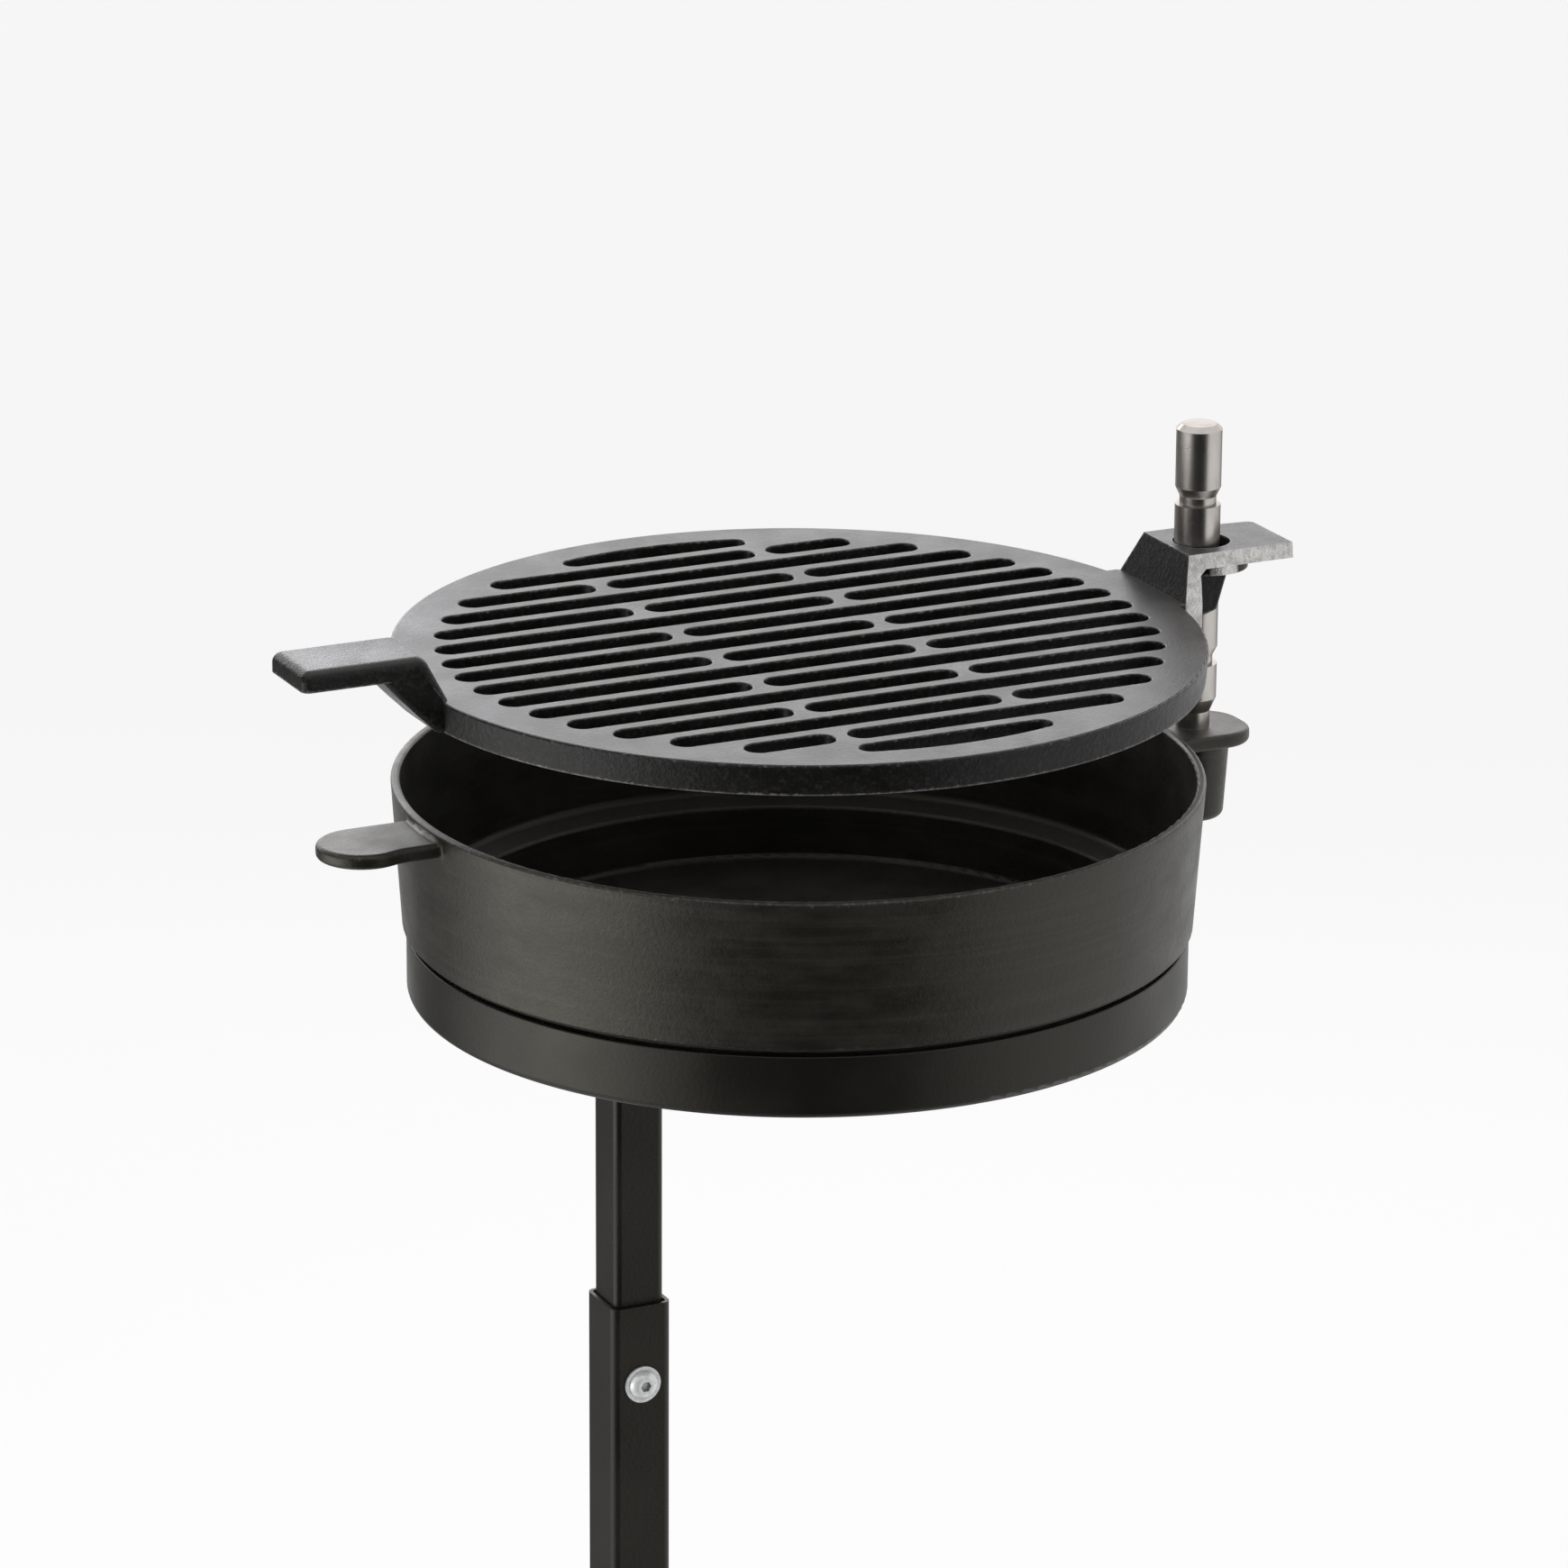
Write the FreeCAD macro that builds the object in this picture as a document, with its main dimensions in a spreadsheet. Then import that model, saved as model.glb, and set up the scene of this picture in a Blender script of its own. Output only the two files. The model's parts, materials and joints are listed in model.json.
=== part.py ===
"""Park barbecue grill on a pedestal: a cast fire bowl carried in a sheet dish on a telescopic square
post, with a round cast grate that hangs from a turned stud and slides, swings and lifts off.

The frame has its origin on the ground under the post, +Z up and +X from the post towards the stud.
The bowl stands off the post along +X, because the post carries it off centre.
"""
import FreeCAD, Part
import math
import os
import re
import Sketcher

# Driving dimensions in millimetres
GROUND = {
    "base_side": 400,
    "base_thickness": 8,
    "base_corner": 30,
    "anchor_spacing": 320,
    "anchor_hole": 14,
    "gusset_reach": 62,
    "gusset_height": 90,
    "gusset_thickness": 5,
    "gusset_nose": 8,
}
POST = {
    "lower_side": 32,
    "lower_wall": 2,
    "lower_corner": 4,
    "lower_length": 580,
    "tube_gap": 0.75,
    "upper_wall": 2,
    "upper_corner": 3.5,
    "upper_length": 400,
    "post_exposed": 146.5,
    "bolt_drop": 41.5,
    "slot_travel": 150,
}
CLAMP = {
    "bolt_shank": 8,
    "bolt_clearance": 0.8,
    "thread_clearance": 0.1,
    "bolt_length": 45,
    "bolt_head": 15,
    "bolt_head_height": 3.6,
    "bolt_socket": 5,
    "bolt_socket_depth": 2.2,
    "nut_flats": 13,
    "nut_height": 8,
    "washer_outer": 19,
    "washer_thickness": 1.2,
}
DISH = {
    "post_offset": 92,
    "support_overhang": 26,
    "support_width": 120,
    "support_thickness": 5,
    "support_corner": 10,
    "rib_reach": 88,
    "rib_height": 34,
    "rib_thickness": 5,
    "rib_nose": 7,
    "fixing_spacing_x": 90,
    "fixing_spacing_y": 80,
    "fixing_shank": 6,
    "fixing_length": 14,
    "fixing_clearance": 0.5,
    "fixing_nut_flats": 10,
    "fixing_nut_height": 5,
    "fixing_washer_outer": 12,
    "fixing_washer_thickness": 1.6,
    "pan_inset": 2,
    "pan_wall": 2.5,
    "pan_depth": 31.5,
    "pan_edge": 4,
    "seam_gap": 2.5,
}
BOWL = {
    "rim_radius": 200.5,
    "bowl_height": 76,
    "bowl_draft": 5,
    "bowl_wall": 4.5,
    "bowl_edge": 2,
    "shoulder_drop": 5,
    "shoulder_rise": 4,
    "register_gap": 2.5,
    "well_inset": 5,
    "well_draft": 2,
    "well_edge": 2,
    "floor_thickness": 3,
    "floor_fillet": 3,
    "grip_length": 54,
    "grip_width": 45,
    "grip_arm": 42,
    "grip_skew": 1.5,
    "grip_drop": 3.7,
    "seat_beyond": 28,
    "seat_width": 46,
    "seat_corner": 19,
    "seat_drop": 5.1,
    "tab_thickness": 7.5,
    "tab_edge": 2.5,
    "tab_root": 2,
    "boss_wall": 10.5,
    "boss_taper": 2.7,
    "boss_depth": 47.2,
    "socket_depth": 42,
    "cast_fillet": 4,
}
STUD = {
    "stud_gap": 20.5,
    "stud_radius": 11.5,
    "stud_height": 157.6,
    "stud_chamfer": 2.7,
    "pin_step": 3,
    "pin_clearance": 0.05,
    "pin_exposed": 8.5,
    "pin_taper": 7,
    "groove_depth": 2.3,
    "neck_height": 4.2,
    "groove_rise": 9,
    "first_groove": 33.3,
    "groove_pitch": 41.5,
}
GRATE = {
    "grate_inset": 0.5,
    "grate_thickness": 15,
    "grate_draft": 4,
    "grate_edge": 1.2,
    "slot_pitch": 22.7,
    "slot_width": 15,
    "slot_draft": 2,
    "slot_edge": 0.8,
    "slot_margin": 22,
    "crescent_margin": 19.5,
    "crescent_end": 6,
    "bridge_reach": 49.5,
    "bridge_width": 7.5,
    "handle_length": 69.5,
    "handle_width": 43,
    "handle_rise": 23.4,
    "handle_thickness": 10,
    "handle_corner": 4,
    "handle_nose": 5,
    "handle_fold": 6,
    "neck_foot": 5.5,
    "neck_lean": 12.5,
    "neck_thickness": 11,
    "web_reach": 28.5,
    "web_bow": 400,
    "web_edge": 4,
    "bracket_beyond": 42.5,
    "bracket_near": 22,
    "bracket_far": 25,
    "bracket_near_foot": 25.5,
    "bracket_far_foot": 44,
    "bracket_taper": 5,
    "bracket_corner": 4,
    "flange_height": 24,
    "flange_thickness": 7.8,
    "wall_offset": 1.5,
    "wall_lean": 3,
    "wall_thickness": 9.3,
    "pad_rim": 7,
    "pad_shift": 5,
    "pad_thickness": 5,
    "stud_play": 3,
    "stud_hole_shift": 2.5,
    "rib_inner": 27,
    "rib_outer": 36,
    "rib_foot": 11,
}
GROOVES = 3
SIZES = {**GROUND, **POST, **CLAMP, **DISH, **BOWL, **STUD, **GRATE}

# Distances from the bowl's axis, which all follow the rim
PAN_RADIUS = "(rim_radius - bowl_draft - pan_inset)"
GRIP_REACH = "(rim_radius + grip_length)"
STUD_REACH = "(rim_radius + stud_gap)"
SEAT_REACH = f"({STUD_REACH} + seat_beyond)"
GRATE_RADIUS = "(rim_radius - grate_inset)"
SLOT_FIELD = f"({GRATE_RADIUS} - slot_margin)"
CRESCENT_FIELD = f"({GRATE_RADIUS} - crescent_margin)"
HANDLE_REACH = f"({GRATE_RADIUS} + handle_length)"
BRACKET_REACH = f"({STUD_REACH} + bracket_beyond)"

# Sizes of one piece that follow the piece it fits
UPPER_SIDE = "(lower_side - 2 * lower_wall - 2 * tube_gap)"
PIN_RADIUS = "(stud_radius - pin_step)"
NECK_RADIUS = "(stud_radius - groove_depth)"
BOSS_RADIUS = f"({PIN_RADIUS} + boss_wall)"
BOSS_FOOT = f"({BOSS_RADIUS} - boss_taper)"
HOLE_RADIUS = "(stud_radius + stud_play)"

# Levels above the ground, stacked from the driving dimensions
LOWER_TOP = "(base_thickness + lower_length)"
BOLT_LEVEL = f"({LOWER_TOP} - bolt_drop)"
PLATE_LEVEL = f"({LOWER_TOP} + post_exposed)"
PAN_LEVEL = f"({PLATE_LEVEL} + support_thickness)"
BOWL_LEVEL = f"({PAN_LEVEL} + pan_depth + seam_gap)"
GRIP_TOP = "(bowl_height - grip_drop)"
SEAT_TOP = "(bowl_height - seat_drop)"
PAD_UNDERSIDE = "(flange_height - flange_thickness - pad_thickness)"
SECOND_GROOVE_TOP = "(first_groove + groove_pitch + groove_rise)"
GRATE_LEVEL = f"({BOWL_LEVEL} + {SEAT_TOP} + {SECOND_GROOVE_TOP} - {PAD_UNDERSIDE})"

LYING = FreeCAD.Rotation(FreeCAD.Vector(1, 0, 0), -90)

document = FreeCAD.newDocument("park_grill")
sheet = document.addObject("Spreadsheet::Sheet", "Sizes")
for row, (alias, size) in enumerate(SIZES.items(), start=1):
    sheet.set(f"A{row}", alias.replace("_", " "))
    sheet.set(f"B{row}", str(size))
    sheet.setAlias(f"B{row}", alias)
document.recompute()


def formula(text):
    """The same formula with each size named as a cell of the sheet."""
    return re.sub(r"[a-z]\w*", lambda word: f"Sizes.{word[0]}" if word[0] in SIZES else word[0], text)


def value(text):
    """What a formula comes to with the sizes as they stand."""
    return float(sheet.evalExpression(formula(text)))


def bind(item, **properties):
    for name, text in properties.items():
        item.setExpression(name.replace("__", "."), formula(text))


def new_body(label, x="0", y="0", z="0", turn=None):
    """An empty body whose place follows the sheet; several separate solids may share it."""
    body = document.addObject("PartDesign::Body", label)
    body.Label = label
    body.AllowCompound = True
    if turn:
        body.Placement = FreeCAD.Placement(FreeCAD.Vector(), turn)
    bind(body, Placement__Base__x=x, Placement__Base__y=y, Placement__Base__z=z)
    return body


class Drawing:
    """Collects the lines and rules of one sketch, then hands them over to the sketch in one go."""

    def __init__(self, body, name, role, offset="0"):
        plane = next(item for item in body.Origin.OriginFeatures if item.Role == role)
        self.sketch = body.newObject("Sketcher::SketchObject", name)
        self.sketch.AttachmentSupport = [(plane, "")]
        self.sketch.MapMode = "FlatFace"
        bind(self.sketch, AttachmentOffset__Base__z=offset)
        self.shapes = []
        self.rules = []
        self.texts = []

    def rule(self, kind, *places, text=None):
        if text is None:
            self.rules.append(Sketcher.Constraint(kind, *places))
            return
        self.texts.append((len(self.rules), text))
        self.rules.append(Sketcher.Constraint(kind, *places, value(text)))

    def pin(self, shape, vertex, across, up):
        """Fixes a point at two formulas, across and up from the sketch's origin."""
        for kind, axis, text in (("DistanceX", -2, across), ("DistanceY", -1, up)):
            if text == "0":
                self.rule("PointOnObject", shape, vertex, axis)
            else:
                self.rule(kind, -1, 1, shape, vertex, text=text)

    def arc(self, x, y, radius, start, stop):
        """Adds an arc that runs counterclockwise between two angles in degrees."""
        circle = Part.Circle(FreeCAD.Vector(x, y, 0), FreeCAD.Vector(0, 0, 1), radius)
        self.shapes.append(Part.ArcOfCircle(circle, math.radians(start), math.radians(stop)))

    def outline(self, corners):
        """A closed outline through corners given as formulas, counterclockwise where it bends; a third
        entry bends the side that leaves the corner outwards to an arc of that radius."""
        first = len(self.shapes)
        count = len(corners)
        spots = [FreeCAD.Vector(value(corner[0]), value(corner[1]), 0) for corner in corners]
        for i, corner in enumerate(corners):
            here, there = spots[i], spots[(i + 1) % count]
            if len(corner) == 2:
                self.shapes.append(Part.LineSegment(here, there))
            else:
                radius = value(corner[2])
                chord = there - here
                left = FreeCAD.Vector(-chord.y, chord.x, 0).normalize()
                centre = (here + there) * 0.5 + left * math.sqrt(radius ** 2 - (chord.Length / 2) ** 2)
                begin = math.degrees(math.atan2(here.y - centre.y, here.x - centre.x))
                finish = math.degrees(math.atan2(there.y - centre.y, there.x - centre.x))
                self.arc(centre.x, centre.y, radius, begin, finish + (360 if finish < begin else 0))
                self.rule("Radius", first + i, text=corner[2])
            self.rule("Coincident", first + (i - 1) % count, 2, first + i, 1)
            self.pin(first + i, 1, corner[0], corner[1])

    def box(self, half_across, half_up):
        """A rectangle centred on the sketch's origin."""
        self.outline([
            (f"-({half_across})", f"-({half_up})"),
            (half_across, f"-({half_up})"),
            (half_across, half_up),
            (f"-({half_across})", half_up),
        ])

    def circle(self, across, up, radius):
        centre = FreeCAD.Vector(value(across), value(up), 0)
        self.shapes.append(Part.Circle(centre, FreeCAD.Vector(0, 0, 1), value(radius)))
        self.pin(len(self.shapes) - 1, 3, across, up)
        self.rule("Radius", len(self.shapes) - 1, text=radius)

    def hexagon(self, across, up, flats):
        """A regular hexagon across its flats, two of them square to the sketch's second axis."""
        corners = []
        for step in range(6):
            angle = math.radians(60 * step)
            reach = f"({flats}) / {2 * math.cos(math.radians(30)):.9f}"
            corners.append((
                f"{across} + {reach} * {math.cos(angle):.9f}",
                f"{up} + {reach} * {math.sin(angle):.9f}",
            ))
        self.outline(corners)

    def slot(self, start, end, side, radius, upright=False):
        """A slot with round ends, whose centres lie at start and end along its length."""
        first = len(self.shapes)
        low, high, middle, half = value(start), value(end), value(side), value(radius)
        turn = 90 if upright else 0

        def spot(along, across):
            if upright:
                return FreeCAD.Vector(2 * middle - across, along, 0)
            return FreeCAD.Vector(along, across, 0)

        self.arc(spot(low, middle).x, spot(low, middle).y, half, 90 + turn, 270 + turn)
        self.shapes.append(Part.LineSegment(spot(low, middle - half), spot(high, middle - half)))
        self.arc(spot(high, middle).x, spot(high, middle).y, half, -90 + turn, 90 + turn)
        self.shapes.append(Part.LineSegment(spot(high, middle + half), spot(low, middle + half)))
        for shape in range(4):
            self.rule("Coincident", first + shape, 2, first + (shape + 1) % 4, 1)
        level = "Horizontal" if upright else "Vertical"
        for arc, along in ((first, start), (first + 2, end)):
            place = (side, along) if upright else (along, side)
            self.pin(arc, 3, *place)
            self.rule("Radius", arc, text=radius)
            for vertex in (1, 2):
                self.rule(level, arc, 3, arc, vertex)

    def done(self):
        self.sketch.addGeometry(self.shapes, False)
        self.sketch.addConstraint(self.rules)
        for index, text in self.texts:
            self.sketch.setExpression(f"Constraints[{index}]", formula(text))
        return self.sketch


def four_corners(spacing_x, spacing_y, middle="0"):
    """Formula pairs for the corners of a rectangle of holes."""
    return [(f"{middle} {x} ({spacing_x}) / 2", f"{y}({spacing_y}) / 2") for x in "+-" for y in ("", "-")]


def last_volume(body):
    return body.Tip.Shape.Volume if body.Tip and body.Tip.Shape else 0.0


def extrude(body, kind, drawing, name, length, side="One side", backwards=False, taper=None):
    """A Pad or Pocket of a drawing; a step that adds or removes nothing stops the build."""
    before = last_volume(body)
    feature = body.newObject(f"PartDesign::{kind}", name)
    feature.Profile = drawing.done()
    feature.SideType = side
    feature.Reversed = backwards
    bind(feature, Length=length)
    if taper:
        bind(feature, TaperAngle=taper)
    document.recompute()
    change = feature.Shape.Volume - before
    if (change <= 0) == (kind == "Pad"):
        raise ValueError(f"{body.Label} {name}: the volume changed by {change:.3f}")
    return feature


def spin(body, kind, name, corners):
    """A full turn of an outline about the body's upright axis, as a Revolution or a Groove."""
    before = last_volume(body)
    drawing = Drawing(body, f"{name}_outline", "XZ_Plane")
    drawing.outline(corners)
    feature = body.newObject(f"PartDesign::{kind}", name)
    feature.Profile = drawing.done()
    feature.ReferenceAxis = (drawing.sketch, ["V_Axis"])
    feature.Angle = 360
    document.recompute()
    change = feature.Shape.Volume - before
    if (change <= 0) == (kind == "Revolution"):
        raise ValueError(f"{body.Label} {name}: the volume changed by {change:.3f}")
    return feature


def soften(body, kind, name, radius, choose):
    """A Fillet or Chamfer of every edge of the body's last shape that the choice accepts."""
    base = body.Tip
    edges = [f"Edge{i}" for i, edge in enumerate(base.Shape.Edges, start=1) if choose(edge)]
    if not edges:
        raise ValueError(f"{body.Label} {name}: no edge to soften")
    feature = body.newObject(f"PartDesign::{kind}", name)
    feature.Base = (base, edges)
    bind(feature, **{"Radius" if kind == "Fillet" else "Size": radius})
    document.recompute()
    return feature


def middle_of(edge):
    return edge.valueAt((edge.FirstParameter + edge.LastParameter) / 2)


def is_straight(edge):
    ends = edge.Vertexes
    return len(ends) == 2 and abs((ends[0].Point - ends[1].Point).Length - edge.Length) < 1e-5


def bend_of(edge):
    """Radius of the edge's bend at its middle: huge for a straight edge, nothing for a mere point."""
    if edge.Length < 1e-5:
        return 0.0
    return 1 / max(edge.curvatureAt((edge.FirstParameter + edge.LastParameter) / 2), 1e-9)


def runs_along(edge, axis):
    """True for a straight edge along one of the body's axes."""
    box = edge.BoundBox
    spans = {"x": box.XLength, "y": box.YLength, "z": box.ZLength}
    return is_straight(edge) and all(span < 1e-4 for name, span in spans.items() if name != axis)


def at_level(edge, level):
    box = edge.BoundBox
    return abs(box.ZMin - level) < 1e-3 and abs(box.ZMax - level) < 1e-3


def make_base_plate():
    """Ground plate with rounded corners and four anchor holes."""
    body = new_body("base_plate")
    drawing = Drawing(body, "base_outline", "XY_Plane")
    drawing.box("base_side / 2", "base_side / 2")
    for across, up in four_corners("anchor_spacing", "anchor_spacing"):
        drawing.circle(across, up, "anchor_hole / 2")
    extrude(body, "Pad", drawing, "base_sheet", "base_thickness")
    soften(body, "Fillet", "base_corners", "base_corner", lambda edge: runs_along(edge, "z"))
    top = value("base_thickness")
    beyond = value("base_side") / 2 - value("base_corner") - 1
    soften(body, "Fillet", "base_rim", "base_thickness / 6",
           lambda edge: at_level(edge, top) and edge.Length > value("anchor_hole") * 3.3
           and max(abs(middle_of(edge).x), abs(middle_of(edge).y)) > beyond)
    return body


def make_base_gussets():
    """Four triangular plates welded between the lower tube and the ground plate."""
    body = new_body("base_gussets", z="base_thickness")
    drawing = Drawing(body, "gusset_outline", "XZ_Plane")
    drawing.outline([
        ("lower_side / 2", "0"),
        ("lower_side / 2 + gusset_reach", "0"),
        ("lower_side / 2 + gusset_reach", "gusset_nose"),
        ("lower_side / 2 + gusset_nose", "gusset_height"),
        ("lower_side / 2", "gusset_height"),
    ])
    plate = extrude(body, "Pad", drawing, "gusset_sheet", "gusset_thickness", side="Symmetric")
    ring = body.newObject("PartDesign::PolarPattern", "gusset_ring")
    ring.Originals = [plate]
    ring.Axis = (drawing.sketch, ["V_Axis"])
    ring.Angle = 360
    ring.Occurrences = 4
    body.Tip = ring
    document.recompute()
    return body


def square_tube(body, side, wall, corner, length):
    """A square tube with rounded corners inside and out, standing on the body's origin."""
    drawing = Drawing(body, "tube_section", "XY_Plane")
    drawing.box(f"{side} / 2", f"{side} / 2")
    drawing.box(f"{side} / 2 - {wall}", f"{side} / 2 - {wall}")
    extrude(body, "Pad", drawing, "tube_wall", length)
    divide = math.sqrt(2) * (value(side) - value(wall)) / 2

    def outer(edge):
        return runs_along(edge, "z") and math.hypot(middle_of(edge).x, middle_of(edge).y) > divide

    def inner(edge):
        spot = middle_of(edge)
        on_diagonal = abs(abs(spot.x) - abs(spot.y)) < 1e-3
        return runs_along(edge, "z") and on_diagonal and math.hypot(spot.x, spot.y) < divide

    soften(body, "Fillet", "outer_corners", corner, outer)
    soften(body, "Fillet", "inner_corners", f"max({corner} - {wall}; 0.3)", inner)


def make_lower_tube():
    body = new_body("lower_tube", z="base_thickness")
    square_tube(body, "lower_side", "lower_wall", "lower_corner", "lower_length")
    drawing = Drawing(body, "bolt_hole", "XZ_Plane")
    drawing.circle("0", "lower_length - bolt_drop", "(bolt_shank + bolt_clearance) / 2")
    extrude(body, "Pocket", drawing, "bolt_passage", "2 * lower_side", side="Symmetric")
    return body


def make_upper_tube():
    """Inner tube with a long slot on the bolt's line, so that the post sets anywhere along it."""
    body = new_body("upper_tube", z=f"{PLATE_LEVEL} - upper_length")
    square_tube(body, UPPER_SIDE, "upper_wall", "upper_corner", "upper_length")
    bolt = "(upper_length - post_exposed - bolt_drop)"
    drawing = Drawing(body, "slot_outline", "XZ_Plane")
    drawing.slot(f"{bolt} - slot_travel", bolt, "0", "(bolt_shank + bolt_clearance) / 2", upright=True)
    extrude(body, "Pocket", drawing, "slot_passage", f"2 * {UPPER_SIDE}", side="Symmetric")
    return body


def make_clamp_bolt():
    """Button-head bolt through both tubes, with a hexagon socket; its shank runs along +Y."""
    body = new_body("clamp_bolt", y="-lower_side / 2 - washer_thickness", z=BOLT_LEVEL, turn=LYING)
    spin(body, "Revolution", "bolt_blank", [
        ("bolt_shank / 2", "bolt_length - 1"),
        ("bolt_shank / 2 - 1", "bolt_length"),
        ("0", "bolt_length"),
        ("0", "-bolt_head_height"),
        ("bolt_head / 2 - 3.4", "-bolt_head_height", "bolt_head_height * 1.3"),
        ("bolt_head / 2", "-bolt_head_height / 5"),
        ("bolt_head / 2", "0"),
        ("bolt_shank / 2", "0"),
    ])
    socket = Drawing(body, "socket_outline", "XY_Plane", offset="-bolt_head_height")
    socket.hexagon("0", "0", "bolt_socket")
    extrude(body, "Pocket", socket, "socket", "bolt_socket_depth", backwards=True)
    return body


def make_clamp_nut():
    body = new_body("clamp_nut", y="lower_side / 2 + washer_thickness", z=BOLT_LEVEL, turn=LYING)
    drawing = Drawing(body, "nut_outline", "XY_Plane")
    drawing.hexagon("0", "0", "nut_flats")
    drawing.circle("0", "0", "(bolt_shank + thread_clearance) / 2")
    extrude(body, "Pad", drawing, "nut_block", "nut_height")
    soften(body, "Chamfer", "nut_corners", "nut_height / 10",
           lambda edge: is_straight(edge) and not runs_along(edge, "z"))
    return body


def make_clamp_washer(label, y):
    body = new_body(label, y=y, z=BOLT_LEVEL, turn=LYING)
    drawing = Drawing(body, "washer_outline", "XY_Plane")
    drawing.circle("0", "0", "washer_outer / 2")
    drawing.circle("0", "0", "(bolt_shank + bolt_clearance) / 2")
    extrude(body, "Pad", drawing, "washer_sheet", "washer_thickness")
    return body


def make_head_washer():
    return make_clamp_washer("clamp_head_washer", "-lower_side / 2 - washer_thickness")


def make_nut_washer():
    return make_clamp_washer("clamp_nut_washer", "lower_side / 2")


def make_support_plate():
    """Plate welded on top of the post, reaching out under the middle of the dish."""
    body = new_body("support_plate", z=PLATE_LEVEL)
    drawing = Drawing(body, "support_outline", "XY_Plane")
    far = "post_offset + fixing_spacing_x / 2 + support_overhang"
    drawing.outline([
        ("-support_overhang", "-support_width / 2"),
        (far, "-support_width / 2"),
        (far, "support_width / 2"),
        ("-support_overhang", "support_width / 2"),
    ])
    for across, up in four_corners("fixing_spacing_x", "fixing_spacing_y", "post_offset"):
        drawing.circle(across, up, "(fixing_shank + fixing_clearance) / 2")
    extrude(body, "Pad", drawing, "support_sheet", "support_thickness")
    soften(body, "Fillet", "support_corners", "support_corner", lambda edge: runs_along(edge, "z"))
    return body


def make_support_rib():
    """Triangular rib welded under the support plate, on the bowl's side of the post."""
    body = new_body("support_rib", z=PLATE_LEVEL)
    drawing = Drawing(body, "rib_outline", "XZ_Plane")
    drawing.outline([
        (f"{UPPER_SIDE} / 2", "0"),
        (f"{UPPER_SIDE} / 2 + rib_reach", "0"),
        (f"{UPPER_SIDE} / 2 + rib_reach", "-rib_nose"),
        (f"{UPPER_SIDE} / 2 + rib_nose", "-rib_height"),
        (f"{UPPER_SIDE} / 2", "-rib_height"),
    ])
    extrude(body, "Pad", drawing, "rib_sheet", "rib_thickness", side="Symmetric")
    return body


def make_pan():
    """Shallow sheet dish that the bowl's lower part drops into."""
    body = new_body("pan", x="post_offset", z=PAN_LEVEL)
    spin(body, "Revolution", "pan_shell", [
        ("0", "0"),
        (PAN_RADIUS, "0"),
        (PAN_RADIUS, "pan_depth"),
        (f"{PAN_RADIUS} - pan_wall", "pan_depth"),
        (f"{PAN_RADIUS} - pan_wall", "pan_wall"),
        ("0", "pan_wall"),
    ])
    soften(body, "Fillet", "pan_outer_edge", "pan_edge", lambda edge: at_level(edge, 0))
    soften(body, "Fillet", "pan_inner_edge", "max(pan_edge - pan_wall; 0.5)",
           lambda edge: at_level(edge, value("pan_wall")))
    soften(body, "Fillet", "pan_lip", "pan_wall / 3", lambda edge: at_level(edge, value("pan_depth")))
    return body


def make_pan_studs():
    """Four threaded studs welded under the dish, down through the support plate."""
    body = new_body("pan_studs", x="post_offset", z=PAN_LEVEL)
    drawing = Drawing(body, "stud_outline", "XY_Plane")
    for across, up in four_corners("fixing_spacing_x", "fixing_spacing_y"):
        drawing.circle(across, up, "fixing_shank / 2")
    extrude(body, "Pad", drawing, "stud_shanks", "fixing_length", backwards=True)
    return body


def make_pan_washers():
    body = new_body("pan_washers", x="post_offset", z=PLATE_LEVEL)
    drawing = Drawing(body, "washer_outline", "XY_Plane")
    for across, up in four_corners("fixing_spacing_x", "fixing_spacing_y"):
        drawing.circle(across, up, "fixing_washer_outer / 2")
        drawing.circle(across, up, "(fixing_shank + fixing_clearance) / 2")
    extrude(body, "Pad", drawing, "washer_sheets", "fixing_washer_thickness", backwards=True)
    return body


def make_pan_nuts():
    body = new_body("pan_nuts", x="post_offset", z=f"{PLATE_LEVEL} - fixing_washer_thickness")
    drawing = Drawing(body, "nut_outline", "XY_Plane")
    for across, up in four_corners("fixing_spacing_x", "fixing_spacing_y"):
        drawing.hexagon(across, up, "fixing_nut_flats")
        drawing.circle(across, up, "(fixing_shank + thread_clearance) / 2")
    extrude(body, "Pad", drawing, "nut_blocks", "fixing_nut_height", backwards=True)
    return body


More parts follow.
